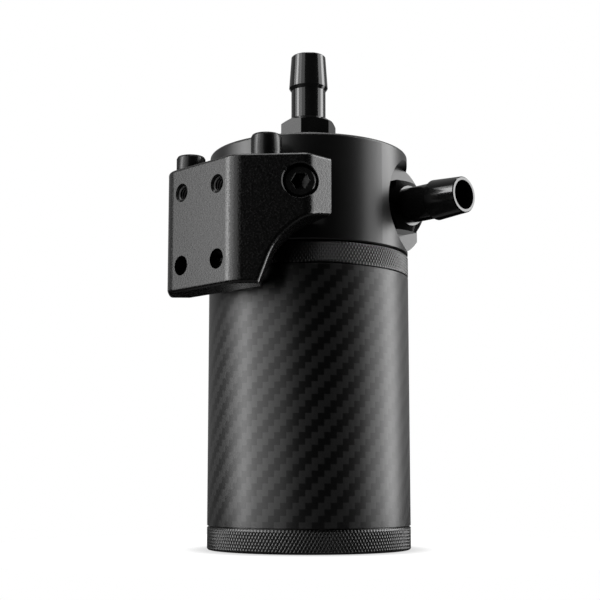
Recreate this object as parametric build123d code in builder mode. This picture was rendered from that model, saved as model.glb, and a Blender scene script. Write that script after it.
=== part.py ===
from build123d import *
import os
from math import cos, radians, sin, tan

# Oil catch can. Millimetres, +Z up, origin on the can's axis at the underside of its base.
# The bracket faces -Y and the side hose port points along +X.

# Canister: base, tube and collar, bonded into one cup
can_radius = 35.0
base_height = 7.6
base_floor = 5.0
tube_length = 86.3
tube_wall = 2.5
collar_height = 7.3
collar_wall = 5.0
ring_edge_chamfer = 0.6
spigot_depth = 9.0
spigot_wall = 3.9
bond_gap = 0.1

# Sealing rings and the running gaps round them
tube_seal_section = 1.8
lid_seal_section = 2.0
seal_side_gap = 0.2
seal_touch_gap = 0.02

# Drain plug in the middle of the base
drain_recess_radius = 9.5
drain_recess_depth = 2.8
drain_boss_radius = 10.0
drain_boss_height = 5.0
drain_thread_radius = 5.0
drain_thread_length = 6.5
drain_flange_radius = 8.0
drain_flange_height = 1.6
drain_seal_height = 0.8
drain_socket_across_flats = 6.0
drain_socket_depth = 4.5

# Lid, screwed into the collar by a threaded spigot
lid_seat_gap = 0.3
lid_height = 35.75
lid_edge_round = 1.0
lid_foot_chamfer = 0.3
lid_thread_length = 7.0
lid_thread_depth = 0.65
lid_thread_clearance = 0.06
lid_thread_runout = 0.5
lid_spigot_wall = 4.0
lid_mouth_depth = 7.5
lid_cavity_step = 6.5
lid_ceiling = 6.25

# Hose ports in the lid: one in the middle of its top, one tangential in its side
port_passage_radius = 5.5
port_hole_runout = 0.3
top_boss_radius = 12.5
top_boss_height = 6.75
top_boss_round = 1.0
side_port_inset = 15.5
side_port_height = 17.0
side_port_setback = 11.6
side_spot_radius = 15.9
side_boss_half_width = 12.2

# Hose fittings, two alike
fitting_thread_radius = 8.0
fitting_thread_length = 7.0
fitting_hex_across_flats = 17.5
fitting_hex_height = 7.5
fitting_hex_crown_radius = 7.0
fitting_hex_crown_angle = 33.0
hose_neck_radius = 6.15
hose_neck_length = 10.6
barb_radius = 6.95
barb_length = 12.9
barb_heel_length = 1.2
barb_tip_radius = 6.15
barb_tip_chamfer = 0.3
hose_bore_radius = 5.0

# Bracket: a plate that faces forward, with two wings that wrap the lid
bracket_stand_off = 15.5
bracket_front_half_width = 16.2
bracket_wing_angle = 42.0
bracket_wing_inset = 0.5
bracket_depth = 26.5
bracket_top_height = 25.3
bracket_height = 41.8
bracket_wing_height = 19.1
bracket_plate_thickness = 11.2
bracket_relief_half_width = 19.0
bracket_seat_gap = 0.05
bracket_cutout_corner = 4.75
bracket_cutout_lean = 20.0
bracket_cutout_runout = 1.0
bracket_corner_round = 8.0
bracket_end_round = 4.5
bracket_edge_round = 1.2
bracket_foot_round = 1.5
bracket_root_round = 3.0
bracket_hole_pitch_x = 18.0
bracket_hole_pitch_z = 24.5
bracket_upper_hole_radius = 2.55
bracket_upper_hole_depth = 12.0
bracket_upper_hole_mouth = 0.55
bracket_lower_hole_radius = 3.3
bracket_wing_screw_drop = 9.0
bracket_wing_counterbore_radius = 5.6
bracket_wing_counterbore_mouth = 0.35
bracket_wing_floor = 5.9
bracket_wing_hole_radius = 3.3
bracket_top_screw_x = 19.2
bracket_top_screw_setback = 12.2

# Socket-head cap screws of the bracket, all of one thread
screw_thread_radius = 3.0
screw_head_radius = 5.0
screw_head_height = 6.0
screw_head_chamfer = 0.5
screw_socket_across_flats = 5.0
screw_socket_depth = 3.2
screw_hole_clearance = 0.05
screw_hole_runout = 1.0
wing_screw_length = 15.0
top_screw_length = 14.0
washer_radius = 4.95
washer_hole_radius = 3.1
washer_height = 1.6
washer_split = 0.9

# Baffle and filter, hung from the lid's ceiling
filter_standoff = 7.0
filter_wall = 3.5
filter_gasket_height = 1.0
baffle_rim_gap = 1.0
baffle_height = 1.5
baffle_recess = 1.5
baffle_drip_hole_radius = 2.0
baffle_drip_hole_rim = 3.3
baffle_drip_hole_count = 12
spacer_count = 3
spacer_radius = 2.8
spacer_bore_radius = 2.2
baffle_screw_radius = 2.0
baffle_screw_bite = 4.2
baffle_screw_head_radius = 3.6
baffle_screw_head_height = 2.4
baffle_screw_head_round = 0.8
baffle_screw_socket_across_flats = 2.5
baffle_screw_socket_depth = 1.4

# Heights and radii that follow from the sizes above
tube_inner_radius = can_radius - tube_wall
spigot_radius = tube_inner_radius - bond_gap
canister_bore_radius = spigot_radius - spigot_wall
tube_seal_circle = tube_inner_radius - tube_seal_section / 2 - seal_touch_gap
tube_seal_groove_radius = tube_seal_circle - tube_seal_section / 2 - seal_touch_gap
tube_seal_groove_height = tube_seal_section + 2 * seal_side_gap
tube_top = base_height + tube_length
base_seal_height = base_height + spigot_depth / 2
collar_seal_height = tube_top - spigot_depth / 2
collar_top = tube_top + collar_height
lid_thread_radius = can_radius - collar_wall
lid_spigot_radius = lid_thread_radius - lid_thread_depth
lid_mouth_radius = lid_thread_radius - lid_spigot_wall
lid_cavity_radius = lid_mouth_radius - lid_cavity_step
lid_bottom = collar_top + lid_seat_gap
lid_top = lid_bottom + lid_height
lid_spigot_bottom = lid_bottom - lid_thread_length
lid_cavity_top = lid_top - lid_ceiling
lid_seal_circle = lid_thread_radius + seal_side_gap + lid_seal_section / 2
lid_seal_rebate_radius = lid_seal_circle + lid_seal_section / 2 + seal_side_gap
lid_seal_rebate_floor = collar_top - lid_seal_section
lid_seal_height = lid_seal_rebate_floor + seal_touch_gap + lid_seal_section / 2
top_port_seat = lid_top + top_boss_height
side_port_offset = can_radius - side_port_inset
side_port_face = can_radius - side_port_setback
side_port_axis_height = lid_bottom + side_port_height
bracket_front_reach = can_radius + bracket_stand_off
bracket_wing_half_span = can_radius - bracket_wing_inset
bracket_wing_back_reach = bracket_front_reach - bracket_depth
bracket_top_screw_reach = bracket_front_reach - bracket_top_screw_setback
bracket_top = lid_bottom + bracket_top_height
bracket_bottom = bracket_top - bracket_height
bracket_wing_bottom = bracket_top - bracket_wing_height
bracket_hole_centre_height = bracket_top - bracket_height / 2
bracket_upper_hole_height = bracket_hole_centre_height + bracket_hole_pitch_z / 2
bracket_lower_hole_height = bracket_hole_centre_height - bracket_hole_pitch_z / 2
wing_screw_height = bracket_top - bracket_wing_screw_drop
wing_cos = cos(radians(bracket_wing_angle))
wing_sin = sin(radians(bracket_wing_angle))
wing_reach = bracket_front_reach * wing_cos + bracket_front_half_width * wing_sin
wing_end_reach = (wing_reach - bracket_wing_half_span * wing_sin) / wing_cos
wing_screw_seat = can_radius + bracket_wing_floor
filter_radius = lid_cavity_radius - filter_standoff
filter_bore_radius = filter_radius - filter_wall
spacer_circle = filter_radius + filter_standoff / 2
baffle_radius = lid_mouth_radius - baffle_rim_gap
baffle_drip_hole_circle = baffle_radius - baffle_drip_hole_rim
baffle_bottom = lid_spigot_bottom + baffle_recess
baffle_top = baffle_bottom + baffle_height

os.makedirs("parts", exist_ok=True)


def wing_plane(side, reach):
    """Plane square to a wing's screw, with the given reach from the can's axis; side is 1 or -1."""
    outward = (side * wing_sin, -wing_cos, 0)
    origin = (outward[0] * reach, outward[1] * reach, wing_screw_height)
    return Plane(origin=origin, x_dir=(side * wing_cos, wing_sin, 0), z_dir=outward)


def on_bracket_wall(edge):
    """True for an edge that bounds the bracket's outer walls and doesn't stand upright."""
    middle = edge.center()
    across = abs(middle.X)
    depth = min(
        bracket_front_reach + middle.Y,
        bracket_wing_half_span - across,
        wing_reach + middle.Y * wing_cos - across * wing_sin,
    )
    rise = abs(edge.tangent_at(0.5).Z)
    return depth < bracket_foot_round / 2 and rise < cos(radians(bracket_cutout_lean / 2))


def ring_seal(circle_radius, height, section):
    """Moulded sealing ring of round section, lying level round the can's axis."""
    with BuildPart() as seal:
        with BuildSketch(Plane.XZ):
            with Locations((circle_radius, height)):
                Circle(section / 2)
        revolve(axis=Axis.Z)
    return seal.part


def cap_screws(seats, length):
    """Socket-head cap screws whose heads stand on the given planes and whose threads run down from them."""
    with BuildPart() as screws:
        with BuildSketch(*seats):
            Circle(screw_head_radius)
        extrude(amount=screw_head_height)
        chamfer(
            [edge for edge in screws.edges().filter_by(GeomType.CIRCLE) if on_head_top(edge, seats)],
            screw_head_chamfer,
        )
        with BuildSketch(*seats):
            Circle(screw_thread_radius)
        extrude(amount=-length)
        with BuildSketch(*[seat.offset(screw_head_height) for seat in seats]):
            RegularPolygon(screw_socket_across_flats / 2, 6, major_radius=False)
        extrude(amount=-screw_socket_depth, mode=Mode.SUBTRACT)
    return screws.part


def on_head_top(edge, seats):
    """Whether an edge lies on the outer end of one of the screw heads."""
    heights = [seat.to_local_coords(edge.arc_center).Z for seat in seats]
    return any(abs(height - screw_head_height) < 1e-6 for height in heights)


def hose_fitting(seat):
    """Turned fitting: a threaded stub below the seat plane, a hexagon on it, a neck and one hose barb."""
    neck_start = fitting_hex_height
    heel_start = neck_start + hose_neck_length
    tip = heel_start + barb_length
    heel_end = heel_start + barb_heel_length
    crown_run = fitting_hex_across_flats - fitting_hex_crown_radius
    crown_drop = crown_run * sin(radians(fitting_hex_crown_angle)) / cos(radians(fitting_hex_crown_angle))
    profile_plane = Plane(origin=seat.origin, x_dir=seat.x_dir, z_dir=-seat.y_dir)
    with BuildPart() as fitting:
        with BuildSketch(seat):
            RegularPolygon(fitting_hex_across_flats / 2, 6, major_radius=False)
        extrude(amount=fitting_hex_height)
        with BuildSketch(profile_plane):
            with BuildLine():
                Polyline(
                    (0, 0),
                    (fitting_hex_across_flats, 0),
                    (fitting_hex_across_flats, fitting_hex_height - crown_drop),
                    (fitting_hex_crown_radius, fitting_hex_height),
                    (0, fitting_hex_height),
                    close=True,
                )
            make_face()
        revolve(axis=Axis(seat.origin, seat.z_dir), mode=Mode.INTERSECT)
        with BuildSketch(profile_plane):
            with BuildLine():
                Polyline(
                    (0, -fitting_thread_length),
                    (fitting_thread_radius, -fitting_thread_length),
                    (fitting_thread_radius, 0),
                    (hose_neck_radius, 0),
                    (hose_neck_radius, heel_start),
                    (barb_radius, heel_end),
                    (barb_tip_radius, tip - barb_tip_chamfer),
                    (barb_tip_radius - barb_tip_chamfer, tip),
                    (0, tip),
                    close=True,
                )
            make_face()
        revolve(axis=Axis(seat.origin, seat.z_dir))
        with BuildSketch(seat.offset(tip)):
            Circle(hose_bore_radius)
        extrude(amount=-tip - fitting_thread_length, mode=Mode.SUBTRACT)
    return fitting.part


# Base: turned cup end with a spigot inside the tube and a drain boss
with BuildPart() as base:
    with BuildSketch(Plane.XY):
        Circle(can_radius)
    extrude(amount=base_height)
    chamfer(base.edges().filter_by(GeomType.CIRCLE), ring_edge_chamfer)
    with BuildSketch(Plane.XY.offset(base_height)):
        Circle(spigot_radius)
    extrude(amount=spigot_depth)
    with BuildSketch(Plane.XY.offset(base_floor)):
        Circle(canister_bore_radius)
        Circle(drain_boss_radius, mode=Mode.SUBTRACT)
    extrude(amount=base_height + spigot_depth - base_floor, mode=Mode.SUBTRACT)
    with BuildSketch(Plane.XY.offset(base_floor + drain_boss_height)):
        Circle(drain_boss_radius)
    extrude(amount=base_height + spigot_depth - base_floor - drain_boss_height, mode=Mode.SUBTRACT)
    with BuildSketch(Plane.XY.offset(base_seal_height - tube_seal_groove_height / 2)):
        Circle(spigot_radius)
        Circle(tube_seal_groove_radius, mode=Mode.SUBTRACT)
    extrude(amount=tube_seal_groove_height, mode=Mode.SUBTRACT)
    with BuildSketch(Plane.XY):
        Circle(drain_recess_radius)
    extrude(amount=drain_recess_depth, mode=Mode.SUBTRACT)
    with BuildSketch(Plane.XY):
        Circle(drain_thread_radius + screw_hole_clearance)
    extrude(amount=base_floor + drain_boss_height, mode=Mode.SUBTRACT)
base.part.label = "base"
export_step(base.part, "parts/base.step")

# Drain plug: flanged, turned by a hexagonal key, with a flat sealing ring under its flange
drain_flange_top = drain_recess_depth - drain_seal_height
with BuildPart() as drain_plug:
    with BuildSketch(Plane.XY.offset(drain_flange_top)):
        Circle(drain_flange_radius)
    extrude(amount=-drain_flange_height)
    with BuildSketch(Plane.XY.offset(drain_flange_top)):
        Circle(drain_thread_radius)
    extrude(amount=drain_seal_height + drain_thread_length)
    with BuildSketch(Plane.XY.offset(drain_flange_top - drain_flange_height)):
        RegularPolygon(drain_socket_across_flats / 2, 6, major_radius=False)
    extrude(amount=drain_socket_depth, mode=Mode.SUBTRACT)
drain_plug.part.label = "drain_plug"
export_step(drain_plug.part, "parts/drain_plug.step")

with BuildPart() as drain_seal:
    with BuildSketch(Plane.XY.offset(drain_flange_top)):
        Circle(drain_flange_radius)
        Circle(drain_thread_radius + seal_side_gap, mode=Mode.SUBTRACT)
    extrude(amount=drain_seal_height)
drain_seal.part.label = "drain_seal"
export_step(drain_seal.part, "parts/drain_seal.step")

# Tube: wound carbon-fibre wall between the two rings
with BuildPart() as tube:
    with BuildSketch(Plane.XY.offset(base_height)):
        Circle(can_radius)
        Circle(tube_inner_radius, mode=Mode.SUBTRACT)
    extrude(amount=tube_length)
tube.part.label = "tube"
export_step(tube.part, "parts/tube.step")

# Collar: turned ring that closes the tube's top and takes the lid's thread
with BuildPart() as collar:
    with BuildSketch(Plane.XY.offset(tube_top)):
        Circle(can_radius)
    extrude(amount=collar_height)
    chamfer(collar.edges().filter_by(GeomType.CIRCLE), ring_edge_chamfer)
    with BuildSketch(Plane.XY.offset(tube_top)):
        Circle(spigot_radius)
    extrude(amount=-spigot_depth)
    with BuildSketch(Plane.XY.offset(tube_top - spigot_depth)):
        Circle(canister_bore_radius)
    extrude(amount=spigot_depth + collar_height, mode=Mode.SUBTRACT)
    with BuildSketch(Plane.XY.offset(collar_top)):
        Circle(lid_thread_radius + lid_thread_clearance)
    extrude(amount=lid_spigot_bottom - lid_thread_runout - collar_top, mode=Mode.SUBTRACT)
    with BuildSketch(Plane.XY.offset(collar_top)):
        Circle(lid_seal_rebate_radius)
    extrude(amount=lid_seal_rebate_floor - collar_top, mode=Mode.SUBTRACT)
    with BuildSketch(Plane.XY.offset(collar_seal_height - tube_seal_groove_height / 2)):
        Circle(spigot_radius)
        Circle(tube_seal_groove_radius, mode=Mode.SUBTRACT)
    extrude(amount=tube_seal_groove_height, mode=Mode.SUBTRACT)
collar.part.label = "collar"
export_step(collar.part, "parts/collar.step")

# Sealing rings: one in each tube spigot and one under the lid
for seal_name, seal_circle, seal_height, seal_section in (
    ("base_tube_seal", tube_seal_circle, base_seal_height, tube_seal_section),
    ("collar_tube_seal", tube_seal_circle, collar_seal_height, tube_seal_section),
    ("lid_seal", lid_seal_circle, lid_seal_height, lid_seal_section),
):
    seal_ring = ring_seal(seal_circle, seal_height, seal_section)
    seal_ring.label = seal_name
    export_step(seal_ring, f"parts/{seal_name}.step")

# Lid: machined head with a threaded spigot, a top boss and a tangential side boss
side_port_plane = Plane(
    origin=(side_port_face, side_port_offset, side_port_axis_height),
    x_dir=(0, 1, 0),
    z_dir=(1, 0, 0),
)
top_port_plane = Plane.XY.offset(top_port_seat)
with BuildPart() as lid:
    with BuildSketch(Plane.XY.offset(lid_bottom)):
        Circle(can_radius)
    extrude(amount=lid_height)
    fillet(lid.edges().group_by(Axis.Z)[-1], lid_edge_round)
    chamfer(lid.edges().group_by(Axis.Z)[0], lid_foot_chamfer)
    with BuildSketch(side_port_plane):
        Circle(side_spot_radius)
        with Locations((side_boss_half_width - side_spot_radius, 0)):
            Rectangle(2 * side_spot_radius, 2 * side_spot_radius, mode=Mode.INTERSECT)
    extrude(amount=-side_port_face)
    with BuildSketch(side_port_plane):
        Circle(side_spot_radius)
    extrude(amount=can_radius, mode=Mode.SUBTRACT)
    with BuildSketch(Plane.XY.offset(lid_top)):
        Circle(top_boss_radius)
    extrude(amount=top_boss_height)
    fillet(lid.edges().group_by(Axis.Z)[-1], top_boss_round)
    with BuildSketch(Plane.XY.offset(lid_bottom)):
        Circle(lid_spigot_radius)
    extrude(amount=-lid_thread_length)
    with BuildSketch(Plane.XY.offset(lid_spigot_bottom)):
        Circle(lid_cavity_radius)
    extrude(amount=lid_cavity_top - lid_spigot_bottom, mode=Mode.SUBTRACT)
    with BuildSketch(Plane.XY.offset(lid_spigot_bottom)):
        Circle(lid_mouth_radius)
    extrude(amount=lid_mouth_depth, mode=Mode.SUBTRACT)
    with BuildSketch(top_port_plane, side_port_plane):
        Circle(fitting_thread_radius + screw_hole_clearance)
    extrude(amount=-fitting_thread_length - port_hole_runout, mode=Mode.SUBTRACT)
    with BuildSketch(top_port_plane):
        Circle(port_passage_radius)
    extrude(amount=lid_cavity_top - top_port_seat, mode=Mode.SUBTRACT)
    with BuildSketch(side_port_plane):
        Circle(port_passage_radius)
    extrude(amount=-side_port_face, mode=Mode.SUBTRACT)
    with BuildSketch(wing_plane(1, can_radius), wing_plane(-1, can_radius)):
        Circle(screw_thread_radius + screw_hole_clearance)
    extrude(amount=wing_screw_seat - wing_screw_length - screw_hole_runout - can_radius, mode=Mode.SUBTRACT)
    with BuildSketch(Plane.XY.offset(lid_cavity_top)):
        with PolarLocations(spacer_circle, spacer_count):
            Circle(baffle_screw_radius + screw_hole_clearance)
    extrude(amount=baffle_screw_bite + port_hole_runout, mode=Mode.SUBTRACT)
lid.part.label = "lid"
export_step(lid.part, "parts/lid.step")

# Hose fittings: one stands on the lid's top boss, one in the side spot face
for fitting_name, fitting_seat in (("top_fitting", top_port_plane), ("side_fitting", side_port_plane)):
    fitting_part = hose_fitting(fitting_seat)
    fitting_part.label = fitting_name
    export_step(fitting_part, f"parts/{fitting_name}.step")

# Filter: porous metal sleeve with a flat gasket at each end, clamped between baffle and ceiling
with BuildPart() as filter_element:
    with BuildSketch(Plane.XY.offset(baffle_top + filter_gasket_height)):
        Circle(filter_radius)
        Circle(filter_bore_radius, mode=Mode.SUBTRACT)
    extrude(amount=lid_cavity_top - baffle_top - 2 * filter_gasket_height)
filter_element.part.label = "filter_element"
export_step(filter_element.part, "parts/filter_element.step")

with BuildPart() as filter_gaskets:
    with BuildSketch(Plane.XY.offset(baffle_top), Plane.XY.offset(lid_cavity_top - filter_gasket_height)):
        Circle(filter_radius)
        Circle(filter_bore_radius, mode=Mode.SUBTRACT)
    extrude(amount=filter_gasket_height)
filter_gaskets.part.label = "filter_gaskets"
export_step(filter_gaskets.part, "parts/filter_gaskets.step")

# Baffle: perforated plate on three spacers, each held by a button-head screw from below
with BuildPart() as baffle_plate:
    with BuildSketch(Plane.XY.offset(baffle_bottom)):
        Circle(baffle_radius)
        with PolarLocations(baffle_drip_hole_circle, baffle_drip_hole_count):
            Circle(baffle_drip_hole_radius, mode=Mode.SUBTRACT)
        with PolarLocations(spacer_circle, spacer_count):
            Circle(spacer_bore_radius, mode=Mode.SUBTRACT)
    extrude(amount=baffle_height)
baffle_plate.part.label = "baffle_plate"
export_step(baffle_plate.part, "parts/baffle_plate.step")

with BuildPart() as baffle_spacers:
    with BuildSketch(Plane.XY.offset(baffle_top)):
        with PolarLocations(spacer_circle, spacer_count):
            Circle(spacer_radius)
            Circle(spacer_bore_radius, mode=Mode.SUBTRACT)
    extrude(amount=lid_cavity_top - baffle_top)
baffle_spacers.part.label = "baffle_spacers"
export_step(baffle_spacers.part, "parts/baffle_spacers.step")

with BuildPart() as baffle_screws:
    with BuildSketch(Plane.XY.offset(baffle_bottom)):
        with PolarLocations(spacer_circle, spacer_count):
            Circle(baffle_screw_head_radius)
    extrude(amount=-baffle_screw_head_height)
    fillet(baffle_screws.edges().group_by(Axis.Z)[0], baffle_screw_head_round)
    with BuildSketch(Plane.XY.offset(baffle_bottom)):
        with PolarLocations(spacer_circle, spacer_count):
            Circle(baffle_screw_radius)
    extrude(amount=lid_cavity_top + baffle_screw_bite - baffle_bottom)
    with BuildSketch(Plane.XY.offset(baffle_bottom - baffle_screw_head_height)):
        with PolarLocations(spacer_circle, spacer_count):
            RegularPolygon(baffle_screw_socket_across_flats / 2, 6, major_radius=False)
    extrude(amount=baffle_screw_socket_depth, mode=Mode.SUBTRACT)
baffle_screws.part.label = "baffle_screws"
export_step(baffle_screws.part, "parts/baffle_screws.step")

# Bracket: half of the casting, cut out under its wing, then mirrored and drilled
wing_back_x = bracket_wing_half_span * wing_cos - bracket_wing_back_reach * wing_sin
cutout_reach = bracket_cutout_corner + wing_back_x + bracket_cutout_runout
cutout_radius = cutout_reach / tan(radians(45 - bracket_cutout_lean / 2))
cutout_top_y = bracket_wing_bottom - wing_screw_height
cutout_floor_x = -bracket_cutout_corner - bracket_height * tan(radians(bracket_cutout_lean))
cutout_floor_y = cutout_top_y - bracket_height
plate_back_y = bracket_plate_thickness - bracket_front_reach
hole_x = bracket_hole_pitch_x / 2
upper_hole_plane = Plane(
    origin=(0, -bracket_front_reach, bracket_upper_hole_height),
    x_dir=(1, 0, 0),
    z_dir=(0, -1, 0),
)
lower_hole_plane = Plane(
    origin=(0, -bracket_front_reach, bracket_lower_hole_height),
    x_dir=(1, 0, 0),
    z_dir=(0, -1, 0),
)
wing_faces = [wing_plane(side, wing_reach) for side in (1, -1)]
with BuildPart() as bracket:
    with BuildSketch(Plane.XY.offset(bracket_bottom)) as outline:
        with BuildLine():
            Polyline(
                (0, -bracket_wing_back_reach),
                (0, -bracket_front_reach),
                (bracket_front_half_width, -bracket_front_reach),
                (bracket_wing_half_span, -wing_end_reach),
                (bracket_wing_half_span, -bracket_wing_back_reach),
                close=True,
            )
        make_face()
        front_corner = outline.vertices().group_by(Axis.Y)[0].sort_by(Axis.X)[-1]
        fillet(front_corner, bracket_corner_round)
        end_corner = outline.vertices().group_by(Axis.X)[-1].sort_by(Axis.Y)[0]
        fillet(end_corner, bracket_end_round)
    extrude(amount=bracket_height)
    with BuildSketch(Plane.XY.offset(bracket_bottom)):
        with Locations((0, plate_back_y)):
            Rectangle(2 * bracket_relief_half_width, bracket_front_reach, align=(Align.CENTER, Align.MIN))
    extrude(amount=bracket_height - bracket_wing_height, mode=Mode.SUBTRACT)
    with BuildSketch(wing_faces[0]) as cutout:
        with BuildLine():
            Polyline(
                (cutout_floor_x, cutout_floor_y),
                (-bracket_cutout_corner, cutout_top_y),
                (bracket_wing_half_span, cutout_top_y),
                (bracket_wing_half_span, cutout_floor_y),
                close=True,
            )
        make_face()
        cutout_corner = cutout.vertices().group_by(Axis.Y)[-1].sort_by(Axis.X)[0]
        fillet(cutout_corner, cutout_radius)
    extrude(amount=-wing_reach, mode=Mode.SUBTRACT)
    plate_back_edges = bracket.edges().filter_by(Axis.X).group_by(Axis.Y)[1]
    fillet(plate_back_edges.sort_by(Axis.Z)[-1], bracket_root_round)
    with BuildSketch(Plane.XY.offset(bracket_bottom)):
        Circle(can_radius + bracket_seat_gap)
    extrude(amount=bracket_height, mode=Mode.SUBTRACT)
    mirror(about=Plane.YZ)
    wall_edges = bracket.edges().filter_by(on_bracket_wall)
    fillet([edge for edge in wall_edges if edge.center().Z < wing_screw_height], bracket_foot_round)
    wall_edges = bracket.edges().filter_by(on_bracket_wall)
    fillet(wall_edges.group_by(Axis.Z)[-1], bracket_edge_round)
    with BuildSketch(upper_hole_plane):
        with Locations((hole_x, 0), (-hole_x, 0)):
            Circle(bracket_upper_hole_radius)
    extrude(amount=-bracket_upper_hole_depth, mode=Mode.SUBTRACT)
    mouths = bracket.edges().filter_by(GeomType.CIRCLE).group_by(Axis.Y)[0]
    chamfer(mouths, bracket_upper_hole_mouth)
    with BuildSketch(lower_hole_plane):
        with Locations((hole_x, 0), (-hole_x, 0)):
            Circle(bracket_lower_hole_radius)
    extrude(amount=-bracket_plate_thickness, mode=Mode.SUBTRACT)
    with BuildSketch(*wing_faces):
        Circle(bracket_wing_counterbore_radius)
    extrude(amount=wing_screw_seat - wing_reach, mode=Mode.SUBTRACT)
    chamfer(bracket.edges(Select.LAST).filter_by(on_bracket_wall), bracket_wing_counterbore_mouth)
    with BuildSketch(*wing_faces):
        Circle(bracket_wing_hole_radius)
    extrude(amount=-wing_reach, mode=Mode.SUBTRACT)
    with BuildSketch(Plane.XY.offset(bracket_top)):
        with Locations(*[(side * bracket_top_screw_x, -bracket_top_screw_reach) for side in (1, -1)]):
            Circle(screw_thread_radius + screw_hole_clearance)
    extrude(amount=washer_height - top_screw_length - screw_hole_runout, mode=Mode.SUBTRACT)
bracket.part.label = "bracket"
export_step(bracket.part, "parts/bracket.step")

# Bracket screws: one through each wing into the lid, one down into each wing's top on a washer
wing_screws = cap_screws([wing_plane(side, wing_screw_seat) for side in (1, -1)], wing_screw_length)
wing_screws.label = "bracket_wing_screws"
export_step(wing_screws, "parts/bracket_wing_screws.step")

washer_planes = [
    Plane(origin=(side * bracket_top_screw_x, -bracket_top_screw_reach, bracket_top)) for side in (1, -1)
]
with BuildPart() as bracket_washers:
    with BuildSketch(*washer_planes):
        Circle(washer_radius)
        Circle(washer_hole_radius, mode=Mode.SUBTRACT)
        Rectangle(washer_split, washer_radius, align=(Align.CENTER, Align.MIN), mode=Mode.SUBTRACT)
    extrude(amount=washer_height)
bracket_washers.part.label = "bracket_washers"
export_step(bracket_washers.part, "parts/bracket_washers.step")

top_screws = cap_screws([plane.offset(washer_height) for plane in washer_planes], top_screw_length)
top_screws.label = "bracket_top_screws"
export_step(top_screws, "parts/bracket_top_screws.step")
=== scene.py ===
import math

import bmesh
import bpy
from mathutils import Matrix, Vector


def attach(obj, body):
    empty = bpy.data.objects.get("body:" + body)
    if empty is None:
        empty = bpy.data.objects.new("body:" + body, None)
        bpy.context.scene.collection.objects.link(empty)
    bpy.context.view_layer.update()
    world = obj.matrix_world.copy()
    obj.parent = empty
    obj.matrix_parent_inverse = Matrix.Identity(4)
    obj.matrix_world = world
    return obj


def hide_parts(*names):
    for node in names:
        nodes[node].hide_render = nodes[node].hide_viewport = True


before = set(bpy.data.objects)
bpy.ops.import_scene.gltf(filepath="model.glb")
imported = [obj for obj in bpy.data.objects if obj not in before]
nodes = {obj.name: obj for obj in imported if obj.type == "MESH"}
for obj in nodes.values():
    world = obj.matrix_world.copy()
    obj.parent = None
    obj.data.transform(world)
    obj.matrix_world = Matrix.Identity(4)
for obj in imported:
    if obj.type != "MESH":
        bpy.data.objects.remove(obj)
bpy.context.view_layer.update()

mm = 0.001

# Studio: a white surround over a small disc of white floor, a tall softbox on each side of the can with
# a bright strip in it, a weak one at the front left, and a lamp overhead. Nothing is lit behind the
# camera, so that the black finishes keep their dark middles.
camera_bearing = math.radians(-44.82)
camera_distance = 420.9 * mm
camera_height = 24.35 * mm
camera_yaw = math.radians(0.415)
camera_pitch = math.radians(6.965)
toward_camera = Vector((math.cos(camera_bearing), math.sin(camera_bearing), 0))

camera_data = bpy.data.cameras.new("photo_camera")
camera_data.lens = 72.33
camera_data.sensor_width = 36
camera_data.shift_y = 0.05
camera_data.clip_start = 0.01
camera = bpy.data.objects.new("photo_camera", camera_data)
camera.location = toward_camera * camera_distance + Vector((0, 0, camera_height))
camera.rotation_euler = (math.pi / 2 + camera_pitch, 0, camera_bearing + math.pi / 2 + camera_yaw)
bpy.context.collection.objects.link(camera)
bpy.context.scene.camera = camera
bpy.context.scene.view_settings.view_transform = "Standard"


def add_node(tree, kind, inputs=None, **settings):
    """A shader node whose inputs take plain values or other nodes' outputs."""
    made = tree.nodes.new(kind)
    for setting, value in settings.items():
        setattr(made, setting, value)
    for socket, value in (inputs or {}).items():
        if isinstance(value, bpy.types.NodeSocket):
            tree.links.new(value, made.inputs[socket])
        else:
            made.inputs[socket].default_value = value
    return made


def reckon(tree, operation, *terms):
    """The output of a Math node."""
    return add_node(tree, "ShaderNodeMath", dict(enumerate(terms)), operation=operation).outputs[0]


box_distance = 800 * mm
strip_distance = 780 * mm
lamp_height = 1220 * mm
lamp_middle = 410 * mm


def softbox(name, bearing, distance, width, power):
    """A tall lamp at a bearing in degrees from the camera's side, turned to the can."""
    lamp = bpy.data.lights.new(name, "AREA")
    lamp.shape = "RECTANGLE"
    lamp.size = width
    lamp.size_y = lamp_height
    lamp.energy = power
    place = bpy.data.objects.new(name, lamp)
    angle = camera_bearing + math.radians(bearing)
    place.location = (distance * math.cos(angle), distance * math.sin(angle), lamp_middle)
    facing = Vector((0, 0, lamp_middle)) - place.location
    place.rotation_euler = facing.to_track_quat("-Z", "Y").to_euler()
    place.visible_camera = False
    bpy.context.collection.objects.link(place)


softbox("left_fill", -38, box_distance, width=400 * mm, power=1.9)
softbox("left_box", -73, box_distance, width=760 * mm, power=7.1)
softbox("left_strip", -75, strip_distance, width=180 * mm, power=4.3)
softbox("right_box", 93, box_distance, width=780 * mm, power=7.5)
softbox("right_strip", 101, strip_distance, width=280 * mm, power=4.6)

top_width = 800 * mm
top_height = 1200 * mm
top_power = 6.0
top_light = bpy.data.lights.new("top_box", "AREA")
top_light.size = top_width
top_light.energy = top_power
top_box = bpy.data.objects.new("top_box", top_light)
top_box.location = (0, 0, top_height)
top_box.visible_camera = False
bpy.context.collection.objects.link(top_box)

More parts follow.
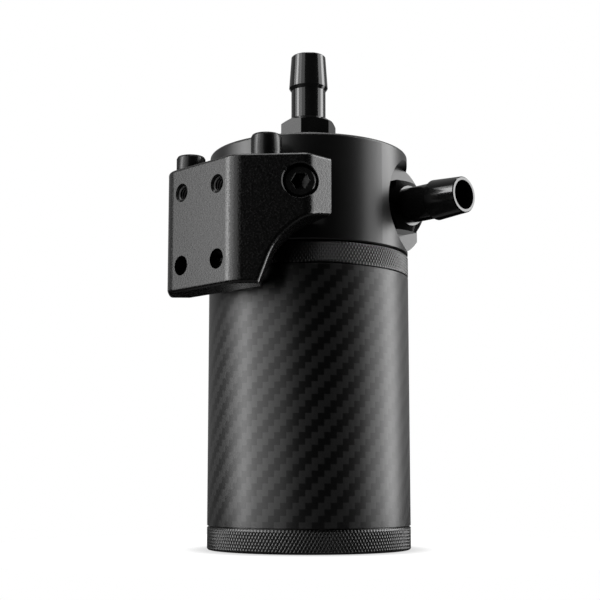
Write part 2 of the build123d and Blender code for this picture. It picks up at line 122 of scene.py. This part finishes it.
# The surround is white to the camera. It lights the can only from behind and above, and its matt faces less.
rear_glow = 0.28
glow_edge = 0.25
glow_full = -0.65
horizon_low = -0.06
horizon_high = 0.03
matt_share = 0.2
surround = bpy.data.worlds.new("white_surround")
bpy.context.scene.world = surround
surround.use_nodes = True
sky = surround.node_tree
sky.nodes.clear()
ray = add_node(sky, "ShaderNodeLightPath")
heading = add_node(sky, "ShaderNodeTexCoord").outputs["Generated"]
frontness = add_node(
    sky, "ShaderNodeVectorMath", {0: heading, 1: toward_camera}, operation="DOT_PRODUCT"
).outputs["Value"]
behind = add_node(
    sky,
    "ShaderNodeMapRange",
    {"Value": frontness, "From Min": glow_edge, "From Max": glow_full, "To Min": 0.0, "To Max": rear_glow},
    interpolation_type="SMOOTHSTEP",
).outputs["Result"]
mirrored = reckon(sky, "MAXIMUM", ray.outputs["Is Glossy Ray"], ray.outputs["Is Transmission Ray"])
share = reckon(sky, "MAXIMUM", mirrored, matt_share)
rise = add_node(sky, "ShaderNodeSeparateXYZ", {0: heading}).outputs["Z"]
above = add_node(
    sky, "ShaderNodeMapRange", {"Value": rise, "From Min": horizon_low, "From Max": horizon_high}
).outputs["Result"]
unseen = reckon(sky, "MULTIPLY", reckon(sky, "MULTIPLY", behind, above), share)
backdrop = add_node(
    sky,
    "ShaderNodeBackground",
    {"Color": (1, 1, 1, 1), "Strength": reckon(sky, "MAXIMUM", ray.outputs["Is Camera Ray"], unseen)},
)
add_node(sky, "ShaderNodeOutputWorld", {"Surface": backdrop.outputs[0]})

# The floor glows white to the camera, and less close to the can, where its glow is dimmed as a painted shadow
# of the can.
floor_radius = 120 * mm
floor_drop = 0.2 * mm
floor_tone = 0.14
# The painted shadow round the base: the glow rises from 0.65 of white at 34 mm from the axis to white at 47
# mm.
painted_shadow_start = 47 * mm
painted_shadow_end = 34 * mm
painted_shadow_depth = 0.65
floor_shape = bmesh.new()
bmesh.ops.create_circle(
    floor_shape,
    cap_ends=True,
    radius=floor_radius,
    segments=96,
    matrix=Matrix.Translation((0, 0, -floor_drop)),
)
floor_mesh = bpy.data.meshes.new("floor")
floor_shape.to_mesh(floor_mesh)
floor_shape.free()
floor = bpy.data.objects.new("floor", floor_mesh)
bpy.context.collection.objects.link(floor)
floor_paper = bpy.data.materials.new("floor_paper")
floor_paper.use_nodes = True
paper = floor_paper.node_tree
paper.nodes.clear()
paper_ray = add_node(paper, "ShaderNodeLightPath")
from_can = add_node(
    paper,
    "ShaderNodeVectorMath",
    {0: add_node(paper, "ShaderNodeTexCoord").outputs["Object"]},
    operation="LENGTH",
).outputs["Value"]
# Painted shadow: the glow is dimmed near the can in the material, not cast by the lamps.
glow_with_painted_shadow = add_node(
    paper,
    "ShaderNodeMapRange",
    {"Value": from_can, "From Min": painted_shadow_end, "From Max": painted_shadow_start, "To Min": painted_shadow_depth, "To Max": 1.0},
    interpolation_type="SMOOTHSTEP",
).outputs["Result"]
paper_seen = reckon(
    paper, "MAXIMUM", paper_ray.outputs["Is Camera Ray"], paper_ray.outputs["Is Transmission Ray"]
)
paper_light = add_node(paper, "ShaderNodeEmission", {"Strength": reckon(paper, "MULTIPLY", glow_with_painted_shadow, paper_seen)})
paper_white = add_node(paper, "ShaderNodeBsdfDiffuse", {"Color": (floor_tone, floor_tone, floor_tone, 1)})
paper_sum = add_node(paper, "ShaderNodeAddShader", {0: paper_light.outputs[0], 1: paper_white.outputs[0]})
add_node(paper, "ShaderNodeOutputMaterial", {"Surface": paper_sum.outputs[0]})
floor_mesh.materials.append(floor_paper)

# Base: cup end turned from aluminium bar, black anodised, with a diamond knurl rolled round its rim.
# Its spigot is bonded inside the tube's foot, and its underside is bored for the drain plug.
can_radius = 35.0 * mm
knurl_depth = 0.17 * mm
knurl_columns = 360
knurl_rows = 7
knurl_root = can_radius - knurl_depth
land_share = 0.6
rim_chamfer = 0.2 * mm
joint_groove = 0.4 * mm
joint_depth = 1.8 * mm
knurl_crease = 50
weld_gap = 0.001 * mm
level_limit = 0.9999


def lathe(shape, profile, steps):
    """Turns an open or closed profile of (radius, height) points, in metres, round the can's axis."""
    corners = [shape.verts.new((radius, 0, height)) for radius, height in profile]
    outline = [shape.edges.new(pair) for pair in zip(corners, corners[1:])]
    bmesh.ops.spin(
        shape,
        geom=corners + outline,
        cent=(0, 0, 0),
        axis=(0, 0, 1),
        angle=2 * math.pi,
        steps=steps,
        use_merge=True,
    )


def knurl_band(shape, low, high):
    """Rows of small diamonds with flat lands round the can, between smooth edges at the knurl's roots."""
    lines = knurl_rows + 1
    grid = bmesh.ops.create_grid(shape, x_segments=knurl_columns, y_segments=lines, size=0.5)
    crests = []
    for vert in grid["verts"]:
        column = round((vert.co.x + 0.5) * knurl_columns)
        row = round((vert.co.y + 0.5) * lines)
        reach = knurl_root
        if 0 < row < lines and (column + row) % 2 == 1:
            reach += knurl_depth / (1 - land_share)
            crests.append(vert)
        angle = 2 * math.pi * column / knurl_columns
        height = low + (high - low) * min(max((row - 0.5) / knurl_rows, 0), 1)
        vert.co = (reach * math.cos(angle), reach * math.sin(angle), height)
    faces = list({face for vert in grid["verts"] for face in vert.link_faces})
    bmesh.ops.triangulate(shape, faces=faces, quad_method="SHORT_EDGE")
    bmesh.ops.bevel(
        shape,
        geom=crests,
        offset=100 * land_share,
        offset_type="PERCENT",
        affect="VERTICES",
        segments=1,
        profile=0.5,
        material=-1,
    )


def close_up(shape, crease):
    """Merges seams, turns faces outwards, keeps level faces flat and edges sharp past an angle in degrees."""
    bmesh.ops.remove_doubles(shape, verts=shape.verts, dist=weld_gap)
    bmesh.ops.recalc_face_normals(shape, faces=shape.faces)
    shape.normal_update()
    for face in shape.faces:
        face.smooth = abs(face.normal.z) < level_limit
    for edge in shape.edges:
        edge.smooth = len(edge.link_faces) == 2 and edge.calc_face_angle() < math.radians(crease)


def new_piece(name, shape, finish, body, replaced=()):
    """Makes an object of a finished shape that rides on a body and may stand for CAD nodes."""
    mesh = bpy.data.meshes.new(name)
    shape.to_mesh(mesh)
    shape.free()
    mesh.materials.append(finish)
    piece = bpy.data.objects.new(name, mesh)
    bpy.context.collection.objects.link(piece)
    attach(piece, body)
    if replaced:
        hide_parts(*replaced)


def new_group(name, inputs, outputs):
    """An empty shader node group with float sockets, and its input and output nodes."""
    group = bpy.data.node_groups.new(name, "ShaderNodeTree")
    for socket, value in inputs.items():
        made = group.interface.new_socket(socket, in_out="INPUT", socket_type="NodeSocketFloat")
        made.default_value = value
    for socket in outputs:
        group.interface.new_socket(socket, in_out="OUTPUT", socket_type="NodeSocketFloat")
    return group, group.nodes.new("NodeGroupInput").outputs, group.nodes.new("NodeGroupOutput").inputs


# Fine grain of a finish: even specks for the bump and a slow drift for the colour and gloss.
fine_grain, grain_in, grain_out = new_group("fine_grain", {"Speck": 0.3, "Drift": 12.0}, ("Specks", "Drift"))
grain_place = add_node(fine_grain, "ShaderNodeTexCoord").outputs["Object"]
speck_scale = reckon(fine_grain, "DIVIDE", 1000.0, grain_in["Speck"])
specks = add_node(
    fine_grain,
    "ShaderNodeTexNoise",
    {"Vector": grain_place, "Scale": speck_scale, "Detail": 2.0, "Roughness": 0.55},
)
fine_grain.links.new(specks.outputs["Fac"], grain_out["Specks"])
drift_scale = reckon(fine_grain, "DIVIDE", 1000.0, grain_in["Drift"])
drift = add_node(
    fine_grain,
    "ShaderNodeTexNoise",
    {"Vector": grain_place, "Scale": drift_scale, "Detail": 3.0, "Roughness": 0.5},
)
fine_grain.links.new(drift.outputs["Fac"], grain_out["Drift"])


def new_finish(name, colour, roughness, specular, metallic=0.0):
    """A material with plain values on its shader, and its node tree and shader for the detail."""
    finish = bpy.data.materials.new(name)
    finish.use_nodes = True
    tree = finish.node_tree
    coat = tree.nodes["Principled BSDF"]
    coat.inputs["Base Color"].default_value = (*colour, 1)
    coat.inputs["Roughness"].default_value = roughness
    coat.inputs["Specular IOR Level"].default_value = specular
    coat.inputs["Metallic"].default_value = metallic
    return finish, tree, coat


def vary_colour(tree, coat, mask, dark, light):
    """Base colour that drifts between two tones over a mask."""
    tones = add_node(
        tree,
        "ShaderNodeMix",
        {"Factor": mask, 6: (*dark, 1), 7: (*light, 1)},
        data_type="RGBA",
    )
    tree.links.new(tones.outputs[2], coat.inputs["Base Color"])


def vary_gloss(tree, coat, mask, low, high):
    """Roughness that drifts between two values over a mask."""
    gloss = add_node(tree, "ShaderNodeMapRange", {"Value": mask, "To Min": low, "To Max": high})
    tree.links.new(gloss.outputs["Result"], coat.inputs["Roughness"])


def emboss(tree, coat, height, strength, depth):
    """Bump of a given depth in metres from a height between 0 and 1."""
    bump = add_node(tree, "ShaderNodeBump", {"Height": height, "Strength": strength, "Distance": depth})
    tree.links.new(bump.outputs["Normal"], coat.inputs["Normal"])


def place_group(tree, group, **values):
    """A node group in a material, with its own values; returns its outputs."""
    made = tree.nodes.new("ShaderNodeGroup")
    made.node_tree = group
    for socket, value in values.items():
        made.inputs[socket].default_value = value
    return made.outputs


ring_black, ring_tree, ring_coat = new_finish("ring_black", (0.004, 0.004, 0.004), 0.24, 0.65)
ring_grain = place_group(ring_tree, fine_grain, Speck=0.12, Drift=6.0)
vary_colour(ring_tree, ring_coat, ring_grain["Drift"], (0.002, 0.002, 0.002), (0.005, 0.005, 0.005))
vary_gloss(ring_tree, ring_coat, ring_grain["Drift"], 0.20, 0.28)
emboss(ring_tree, ring_coat, ring_grain["Specks"], 0.25, 0.02 * mm)

base_height = 7.6 * mm
base_floor = 5.0 * mm
spigot_radius = 32.4 * mm
spigot_bore = 28.5 * mm
spigot_depth = 9.0 * mm
seal_groove_radius = 30.66 * mm
seal_groove_height = 2.2 * mm
drain_recess_radius = 9.5 * mm
drain_recess_depth = 2.8 * mm
drain_recess_chamfer = 0.3 * mm
drain_hole_radius = 5.05 * mm
drain_boss_radius = 10.0 * mm
drain_boss_top = 10.0 * mm
base_groove = base_height + spigot_depth / 2 - seal_groove_height / 2
base_shape = bmesh.new()
lathe(
    base_shape,
    [
        (knurl_root, rim_chamfer),
        (knurl_root - rim_chamfer, 0),
        (drain_recess_radius + drain_recess_chamfer, 0),
        (drain_recess_radius, drain_recess_chamfer),
        (drain_recess_radius, drain_recess_depth),
        (drain_hole_radius, drain_recess_depth),
        (drain_hole_radius, drain_boss_top),
        (drain_boss_radius, drain_boss_top),
        (drain_boss_radius, base_floor),
        (spigot_bore, base_floor),
        (spigot_bore, base_height + spigot_depth),
        (spigot_radius, base_height + spigot_depth),
        (spigot_radius, base_groove + seal_groove_height),
        (seal_groove_radius, base_groove + seal_groove_height),
        (seal_groove_radius, base_groove),
        (spigot_radius, base_groove),
        (spigot_radius, base_height),
        (knurl_root, base_height),
    ],
    knurl_columns,
)
knurl_band(base_shape, rim_chamfer, base_height)
close_up(base_shape, knurl_crease)
new_piece("base_cup", base_shape, ring_black, "canister", ["base"])

# Drain plug: flanged socket plug in the middle of the underside, gloss black, on a flat rubber ring.
# The plug, its ring and the can's other sealing rings keep their CAD shapes.
seal_rubber, rubber_tree, rubber_coat = new_finish("seal_rubber", (0.02, 0.02, 0.021), 0.6, 0.35)
rubber_grain = place_group(rubber_tree, fine_grain, Speck=0.15, Drift=5.0)
vary_colour(rubber_tree, rubber_coat, rubber_grain["Drift"], (0.014, 0.014, 0.015), (0.03, 0.03, 0.031))
vary_gloss(rubber_tree, rubber_coat, rubber_grain["Drift"], 0.5, 0.7)
emboss(rubber_tree, rubber_coat, rubber_grain["Specks"], 0.3, 0.03 * mm)

fitting_black, fitting_tree, fitting_coat = new_finish("fitting_black", (0.012, 0.012, 0.013), 0.12, 0.6)
fitting_grain = place_group(fitting_tree, fine_grain, Speck=0.25, Drift=5.0)
vary_colour(fitting_tree, fitting_coat, fitting_grain["Drift"], (0.004, 0.004, 0.004), (0.008, 0.008, 0.008))
vary_gloss(fitting_tree, fitting_coat, fitting_grain["Drift"], 0.09, 0.17)
emboss(fitting_tree, fitting_coat, fitting_grain["Specks"], 0.08, 0.01 * mm)


def dress(finish, *names):
    """Gives CAD nodes that keep their shape a finish."""
    for name in names:
        materials = nodes[name].data.materials
        materials.clear()
        materials.append(finish)


dress(fitting_black, "drain_plug")
dress(seal_rubber, "drain_seal", "base_tube_seal", "collar_tube_seal", "lid_seal")

# Tube: wall of wound carbon-fibre cloth in a two-by-two twill, moulded in resin and left satin.
# It is bonded over the spigots of the base and the collar, with a rebate at each end as a dark joint line.
tow_count = 108
tow_pitch = 2.036 * mm
tube_bottom = 7.6 * mm
tube_top = 93.9 * mm
tube_bore = 32.5 * mm
tube_lip = 0.2 * mm
plain_crease = 30
tube_shape = bmesh.new()
lathe(
    tube_shape,
    [
        (can_radius - joint_depth, tube_bottom),
        (can_radius - joint_depth, tube_bottom + joint_groove),
        (can_radius - tube_lip, tube_bottom + joint_groove),
        (can_radius, tube_bottom + joint_groove + tube_lip),
        (can_radius, tube_top - joint_groove - tube_lip),
        (can_radius - tube_lip, tube_top - joint_groove),
        (can_radius - joint_depth, tube_top - joint_groove),
        (can_radius - joint_depth, tube_top),
        (tube_bore, tube_top),
        (tube_bore, tube_bottom),
        (can_radius - joint_depth, tube_bottom),
    ],
    tow_count * 2,
)
close_up(tube_shape, plain_crease)

# Twill of the cloth, round the can's axis: which tow lies on top, its rounded back and its fibres.
twill_repeat = 4.0
fibres_across = 14.0
fibres_along = 0.8
fibre_offset = 7.3
twill, twill_in, twill_out = new_group(
    "twill", {"Tows": tow_count, "Pitch": tow_pitch}, ("Warp", "Height", "Fibres")
)
cloth = add_node(
    twill, "ShaderNodeSeparateXYZ", {0: add_node(twill, "ShaderNodeTexCoord").outputs["Object"]}
).outputs
turn = reckon(twill, "ARCTAN2", cloth["Y"], cloth["X"])
turn_share = reckon(twill, "ADD", reckon(twill, "DIVIDE", turn, 2 * math.pi), 0.5)
column_place = reckon(twill, "MULTIPLY", turn_share, twill_in["Tows"])
row_place = reckon(twill, "DIVIDE", cloth["Z"], twill_in["Pitch"])
column = reckon(twill, "FLOOR", column_place)
row = reckon(twill, "FLOOR", row_place)
across = reckon(twill, "FRACT", column_place)
along = reckon(twill, "FRACT", row_place)
step = reckon(twill, "FLOORED_MODULO", reckon(twill, "SUBTRACT", row, column), twill_repeat)
warp = reckon(twill, "LESS_THAN", step, 1.5)
weft = reckon(twill, "SUBTRACT", 1.0, warp)


def over(first, second):
    """The warp's value where the warp is on top, the weft's elsewhere."""
    return reckon(
        twill, "ADD", reckon(twill, "MULTIPLY", first, warp), reckon(twill, "MULTIPLY", second, weft)
    )


def hump(place):
    """A half sine over a span from 0 to 1."""
    return reckon(twill, "SINE", reckon(twill, "MULTIPLY", place, math.pi))


warp_run = reckon(twill, "DIVIDE", reckon(twill, "ADD", step, along), 2.0)
weft_run = reckon(twill, "DIVIDE", reckon(twill, "ADD", reckon(twill, "SUBTRACT", 3.0, step), across), 2.0)
back = reckon(twill, "POWER", hump(over(across, along)), 0.6)
dive = reckon(twill, "POWER", hump(over(warp_run, weft_run)), 0.5)
twill.links.new(warp, twill_out["Warp"])
twill.links.new(reckon(twill, "MULTIPLY", back, dive), twill_out["Height"])
fibre_place = add_node(
    twill,
    "ShaderNodeCombineXYZ",
    {
        "X": reckon(twill, "MULTIPLY", column_place, over(fibres_across, fibres_along)),
        "Y": reckon(twill, "MULTIPLY", row_place, over(fibres_along, fibres_across)),
        "Z": reckon(twill, "MULTIPLY", warp, fibre_offset),
    },
).outputs[0]
fibres = add_node(twill, "ShaderNodeTexNoise", {"Vector": fibre_place, "Scale": 1.0, "Detail": 2.0})
twill.links.new(fibres.outputs["Fac"], twill_out["Fibres"])

carbon, carbon_tree, carbon_coat = new_finish("carbon_tube", (0.02, 0.02, 0.02), 0.5, 0.5, metallic=1.0)
carbon_coat.inputs["Coat Weight"].default_value = 0.78
carbon_coat.inputs["Coat Roughness"].default_value = 0.33
cloth_weave = place_group(carbon_tree, twill)
cloth_grain = place_group(carbon_tree, fine_grain, Speck=0.2, Drift=9.0)
tow_tone = reckon(
    carbon_tree,
    "ADD",
    reckon(carbon_tree, "MULTIPLY", cloth_weave["Warp"], 0.8),
    reckon(carbon_tree, "MULTIPLY", cloth_weave["Fibres"], 0.2),
)
vary_colour(carbon_tree, carbon_coat, tow_tone, (0.001, 0.001, 0.001), (0.028, 0.028, 0.028))
tow_gloss = reckon(
    carbon_tree,
    "ADD",
    reckon(carbon_tree, "MULTIPLY", cloth_weave["Warp"], 0.8),
    reckon(carbon_tree, "MULTIPLY", cloth_grain["Drift"], 0.2),
)
vary_gloss(carbon_tree, carbon_coat, tow_gloss, 0.50, 0.66)
tow_relief = reckon(
    carbon_tree,
    "ADD",
    reckon(carbon_tree, "MULTIPLY", cloth_weave["Height"], 0.85),
    reckon(carbon_tree, "MULTIPLY", cloth_weave["Fibres"], 0.15),
)
emboss(carbon_tree, carbon_coat, tow_relief, 0.35, 0.06 * mm)
new_piece("carbon_tube", tube_shape, carbon, "canister", ["tube"])

# Collar: turned ring like the base's rim, with the same knurl, that closes the tube's top.
# Its bore takes the lid's thread, and a rebate in its top face holds the lid's sealing ring.
collar_top = 101.2 * mm
collar_bore = 30.06 * mm
collar_bore_floor = 94.0 * mm
rebate_radius = 32.4 * mm
rebate_floor = 99.2 * mm
collar_groove = tube_top - spigot_depth / 2 - seal_groove_height / 2
collar_shape = bmesh.new()
lathe(
    collar_shape,
    [
        (knurl_root, tube_top),
        (spigot_radius, tube_top),
        (spigot_radius, collar_groove + seal_groove_height),
        (seal_groove_radius, collar_groove + seal_groove_height),
        (seal_groove_radius, collar_groove),
        (spigot_radius, collar_groove),
        (spigot_radius, tube_top - spigot_depth),
        (spigot_bore, tube_top - spigot_depth),
        (spigot_bore, collar_bore_floor),
        (collar_bore, collar_bore_floor),
        (collar_bore, rebate_floor),
        (rebate_radius, rebate_floor),
        (rebate_radius, collar_top),
        (knurl_root - joint_depth, collar_top),
        (knurl_root - joint_depth, collar_top - joint_groove),
        (knurl_root, collar_top - joint_groove),
    ],
    knurl_columns,
)
knurl_band(collar_shape, tube_top, collar_top - joint_groove)
close_up(collar_shape, knurl_crease)
new_piece("collar_ring", collar_shape, ring_black, "canister", ["collar"])

# Lid: machined from solid aluminium and anodised satin black, with fine turning marks round its wall.
# Its spigot screws into the collar by a two-millimetre thread, whose turns are wound on here.
turning, turning_in, turning_out = new_group("turning", {"Groove": 0.12}, ("Marks",))
turned = add_node(
    turning, "ShaderNodeSeparateXYZ", {0: add_node(turning, "ShaderNodeTexCoord").outputs["Object"]}
).outputs
turned_squares = [reckon(turning, "POWER", turned[axis], 2.0) for axis in ("X", "Y")]
turned_radius = reckon(turning, "SQRT", reckon(turning, "ADD", *turned_squares))
groove_place = add_node(turning, "ShaderNodeCombineXYZ", {"X": turned_radius, "Z": turned["Z"]}).outputs[0]
groove_scale = reckon(turning, "DIVIDE", 1000.0, turning_in["Groove"])
grooves = add_node(
    turning, "ShaderNodeTexNoise", {"Vector": groove_place, "Scale": groove_scale, "Detail": 1.0}
)
turning.links.new(grooves.outputs["Fac"], turning_out["Marks"])

lid_black, lid_tree, lid_coat = new_finish("lid_black", (0.014, 0.014, 0.015), 0.36, 0.55)
lid_grain = place_group(lid_tree, fine_grain, Speck=0.15, Drift=14.0)
lid_marks = place_group(lid_tree, turning)
vary_colour(lid_tree, lid_coat, lid_grain["Drift"], (0.002, 0.002, 0.002), (0.004, 0.004, 0.004))
vary_gloss(lid_tree, lid_coat, lid_grain["Drift"], 0.29, 0.36)
lid_relief = reckon(
    lid_tree,
    "ADD",
    reckon(lid_tree, "MULTIPLY", lid_grain["Specks"], 0.5),
    reckon(lid_tree, "MULTIPLY", lid_marks["Marks"], 0.5),
)
emboss(lid_tree, lid_coat, lid_relief, 0.25, 0.015 * mm)
dress(lid_black, "lid")

thread_pitch = 2.0 * mm
thread_turns = 2.75
thread_steps = 330
thread_crest = 29.95 * mm
thread_root = 29.25 * mm
thread_start = 95.2 * mm
thread_foot = 0.9 * mm
thread_land = 0.12 * mm
thread_shape = bmesh.new()
flank = [
    thread_shape.verts.new((radius, 0, thread_start + lift))
    for radius, lift in (
        (thread_root, -thread_foot),
        (thread_crest, -thread_land),
        (thread_crest, thread_land),
        (thread_root, thread_foot),
    )
]
flank_face = thread_shape.faces.new(flank)
bmesh.ops.spin(
    thread_shape,
    geom=[flank_face],
    cent=(0, 0, 0),
    axis=(0, 0, 1),
    dvec=(0, 0, thread_pitch * thread_turns / thread_steps),
    angle=2 * math.pi * thread_turns,
    steps=thread_steps,
)
close_up(thread_shape, plain_crease)
new_piece("lid_thread", thread_shape, lid_black, "head")

# Hose fittings: turned and milled from aluminium, polished and anodised gloss black.
# Each screws into a port of the lid and keeps its CAD shape.
dress(fitting_black, "top_fitting", "side_fitting")

# Filter and baffle: a sintered bronze sleeve between two rubber gaskets, clamped to the lid's ceiling
# by a perforated steel plate on three spacers and button-head screws. They keep their CAD shapes.
bronze, bronze_tree, bronze_coat = new_finish("filter_bronze", (0.42, 0.27, 0.13), 0.5, 0.5, metallic=1.0)
bronze_grain = place_group(bronze_tree, fine_grain, Speck=0.5, Drift=4.0)
vary_colour(bronze_tree, bronze_coat, bronze_grain["Specks"], (0.20, 0.12, 0.05), (0.55, 0.37, 0.19))
vary_gloss(bronze_tree, bronze_coat, bronze_grain["Drift"], 0.4, 0.65)
emboss(bronze_tree, bronze_coat, bronze_grain["Specks"], 0.9, 0.25 * mm)
dress(bronze, "filter_element")
dress(seal_rubber, "filter_gaskets")

steel, steel_tree, steel_coat = new_finish("baffle_steel", (0.55, 0.55, 0.56), 0.32, 0.5, metallic=1.0)
steel_grain = place_group(steel_tree, fine_grain, Speck=0.2, Drift=6.0)
steel_marks = place_group(steel_tree, turning)
vary_colour(steel_tree, steel_coat, steel_grain["Drift"], (0.46, 0.46, 0.47), (0.62, 0.62, 0.63))
vary_gloss(steel_tree, steel_coat, steel_marks["Marks"], 0.24, 0.42)
emboss(steel_tree, steel_coat, steel_marks["Marks"], 0.3, 0.015 * mm)
dress(steel, "baffle_plate", "baffle_spacers", "baffle_screws")

# Bracket: aluminium casting under a fine-textured black powder coat, a plate with two wings round the lid.
# Its upper pair of holes is tapped, so turns of thread in cut metal are wound inside them, written almost
# black as painted shade for the inside of the holes.
powder, powder_tree, powder_coat = new_finish("bracket_coat", (0.02, 0.0195, 0.0195), 0.45, 0.5)
powder_grain = place_group(powder_tree, fine_grain, Speck=0.6, Drift=7.0)
vary_colour(powder_tree, powder_coat, powder_grain["Specks"], (0.002, 0.002, 0.002), (0.005, 0.0049, 0.0049))
vary_gloss(powder_tree, powder_coat, powder_grain["Specks"], 0.02, 0.44)
emboss(powder_tree, powder_coat, powder_grain["Specks"], 0.6, 0.09 * mm)
dress(powder, "bracket")

bracket_face = -50.5 * mm
tapped_x = 9.0 * mm
tapped_height = 118.15 * mm
tapped_radius = 2.58 * mm
tapped_crest = 2.1 * mm
tapped_pitch = 1.0 * mm
tapped_turns = 9
tapped_steps = 24
tapped_start = 0.68 * mm
tapped_foot = 0.33 * mm
tapped_land = 0.05 * mm
tapped_shape = bmesh.new()
for side in (1, -1):
    ridge = [
        tapped_shape.verts.new((side * tapped_x + radius, bracket_face + depth, tapped_height))
        for radius, depth in (
            (tapped_radius, tapped_start - tapped_foot),
            (tapped_crest, tapped_start - tapped_land),
            (tapped_crest, tapped_start + tapped_land),
            (tapped_radius, tapped_start + tapped_foot),
        )
    ]
    bmesh.ops.spin(
        tapped_shape,
        geom=[tapped_shape.faces.new(ridge)],
        cent=(side * tapped_x, 0, tapped_height),
        axis=(0, 1, 0),
        dvec=(0, tapped_pitch / tapped_steps, 0),
        angle=2 * math.pi * tapped_turns,
        steps=tapped_steps * tapped_turns,
    )
close_up(tapped_shape, plain_crease)
# The cut metal's tones, 0.02 to 0.05, are painted shade for the inside of the holes, not the metal's own
# colour.
cut_metal_with_painted_shade, cut_tree, cut_coat = new_finish("cut_metal_with_painted_shade", (0.04, 0.04, 0.04), 0.3, 0.5, metallic=1.0)
cut_grain = place_group(cut_tree, fine_grain, Speck=0.2, Drift=2.0)
vary_colour(cut_tree, cut_coat, cut_grain["Drift"], (0.02, 0.02, 0.02), (0.05, 0.05, 0.05))
vary_gloss(cut_tree, cut_coat, cut_grain["Drift"], 0.24, 0.36)
emboss(cut_tree, cut_coat, cut_grain["Specks"], 0.2, 0.02 * mm)
new_piece("bracket_tapped_turns", tapped_shape, cut_metal_with_painted_shade, "head")

# Cap screws: socket-head screws in black oxide, with a straight knurl round each head.
# One goes through each wing into the lid, and one stands on a washer on each wing's top.
head_columns = 72
head_radius = 5.0 * mm
head_root = 4.86 * mm
head_height = 6.0 * mm
head_knurl_low = 0.25 * mm
head_knurl_high = 5.25 * mm
head_shoulder = 5.4 * mm
head_crown_radius = 4.65 * mm
head_crown_low = 5.85 * mm
head_face_radius = 4.45 * mm
socket_half = 2.5 * mm
socket_chamfer = 0.2 * mm
socket_floor = 2.8 * mm
drill_tip_radius = 0.5 * mm
drill_tip_depth = 0.6 * mm
shank_radius = 3.0 * mm
shank_chamfer = 0.5 * mm
screw_crease = 28


def round_of(radius):
    """The same reach at every angle."""
    return lambda angle: radius


def knurled(angle):
    """Crests and roots in turn round a screw's head."""
    return head_radius if round(angle * head_columns / (2 * math.pi)) % 2 else head_root


def hexagon_of(half):
    """The reach of a hexagon with the given half width across flats."""
    return lambda angle: half / math.cos((angle % (math.pi / 3)) - math.pi / 6)


def next_ring(shape, edges, reach, height):
    """Draws a loop of edges on into a new loop with its own reach and height."""
    grown = bmesh.ops.extrude_edge_only(shape, edges=edges)["geom"]
    for vert in (part for part in grown if isinstance(part, bmesh.types.BMVert)):
        angle = math.atan2(vert.co.y, vert.co.x) % (2 * math.pi)
        vert.co = (reach(angle) * math.cos(angle), reach(angle) * math.sin(angle), height)
    return [part for part in grown if isinstance(part, bmesh.types.BMEdge)]


def cap_screw(length, seat):
    """A cap screw whose head stands on a seat, given as a matrix with its +Z out of the head."""
    shape = bmesh.new()
    tip = bmesh.ops.create_circle(
        shape, cap_ends=True, radius=shank_radius - shank_chamfer, segments=head_columns
    )
    bmesh.ops.translate(shape, verts=tip["verts"], vec=(0, 0, -length))
    loop = list(shape.edges)
    for reach, height in (
        (round_of(shank_radius), shank_chamfer - length),
        (round_of(shank_radius), 0),
        (round_of(head_root), 0),
        (knurled, head_knurl_low),
        (knurled, head_knurl_high),
        (round_of(head_root), head_shoulder),
        (round_of(head_crown_radius), head_crown_low),
        (round_of(head_face_radius), head_height),
        (hexagon_of(socket_half + socket_chamfer), head_height),
        (hexagon_of(socket_half), head_height - socket_chamfer),
        (hexagon_of(socket_half), socket_floor),
        (round_of(drill_tip_radius), socket_floor - drill_tip_depth),
    ):
        loop = next_ring(shape, loop, reach, height)
    bmesh.ops.holes_fill(shape, edges=loop)
    bmesh.ops.transform(shape, matrix=seat, verts=shape.verts)
    return shape


def join_screws(name, length, seats, replaced):
    """A pair of cap screws as one piece, in place of its CAD node."""
    pair = bmesh.new()
    for seat in seats:
        screw = cap_screw(length, seat)
        mesh = bpy.data.meshes.new(name)
        screw.to_mesh(mesh)
        screw.free()
        pair.from_mesh(mesh)
        bpy.data.meshes.remove(mesh)
    close_up(pair, screw_crease)
    new_piece(name, pair, screw_black, "head", [replaced])


screw_black, screw_tree, screw_coat = new_finish("screw_black", (0.004, 0.004, 0.004), 0.26, 0.38)
screw_grain = place_group(screw_tree, fine_grain, Speck=0.15, Drift=3.0)
vary_colour(screw_tree, screw_coat, screw_grain["Drift"], (0.002, 0.002, 0.002), (0.005, 0.005, 0.005))
vary_gloss(screw_tree, screw_coat, screw_grain["Drift"], 0.22, 0.30)
emboss(screw_tree, screw_coat, screw_grain["Specks"], 0.2, 0.02 * mm)

wing_angle = math.radians(42)
wing_seat = 40.9 * mm
wing_screw_height = 117.8 * mm
wing_screw_length = 15.0 * mm
wing_seats = []
for side in (1, -1):
    outward = Vector((side * math.sin(wing_angle), -math.cos(wing_angle), 0))
    turned_out = outward.to_track_quat("Z", "Y").to_matrix().to_4x4()
    seat_point = outward * wing_seat + Vector((0, 0, wing_screw_height))
    wing_seats.append(Matrix.Translation(seat_point) @ turned_out)
join_screws("wing_screws", wing_screw_length, wing_seats, "bracket_wing_screws")

top_screw_x = 19.2 * mm
top_screw_y = -38.3 * mm
top_screw_seat = 128.4 * mm
top_screw_length = 14.0 * mm
top_seats = [Matrix.Translation((side * top_screw_x, top_screw_y, top_screw_seat)) for side in (1, -1)]
join_screws("top_screws", top_screw_length, top_seats, "bracket_top_screws")
dress(screw_black, "bracket_washers")
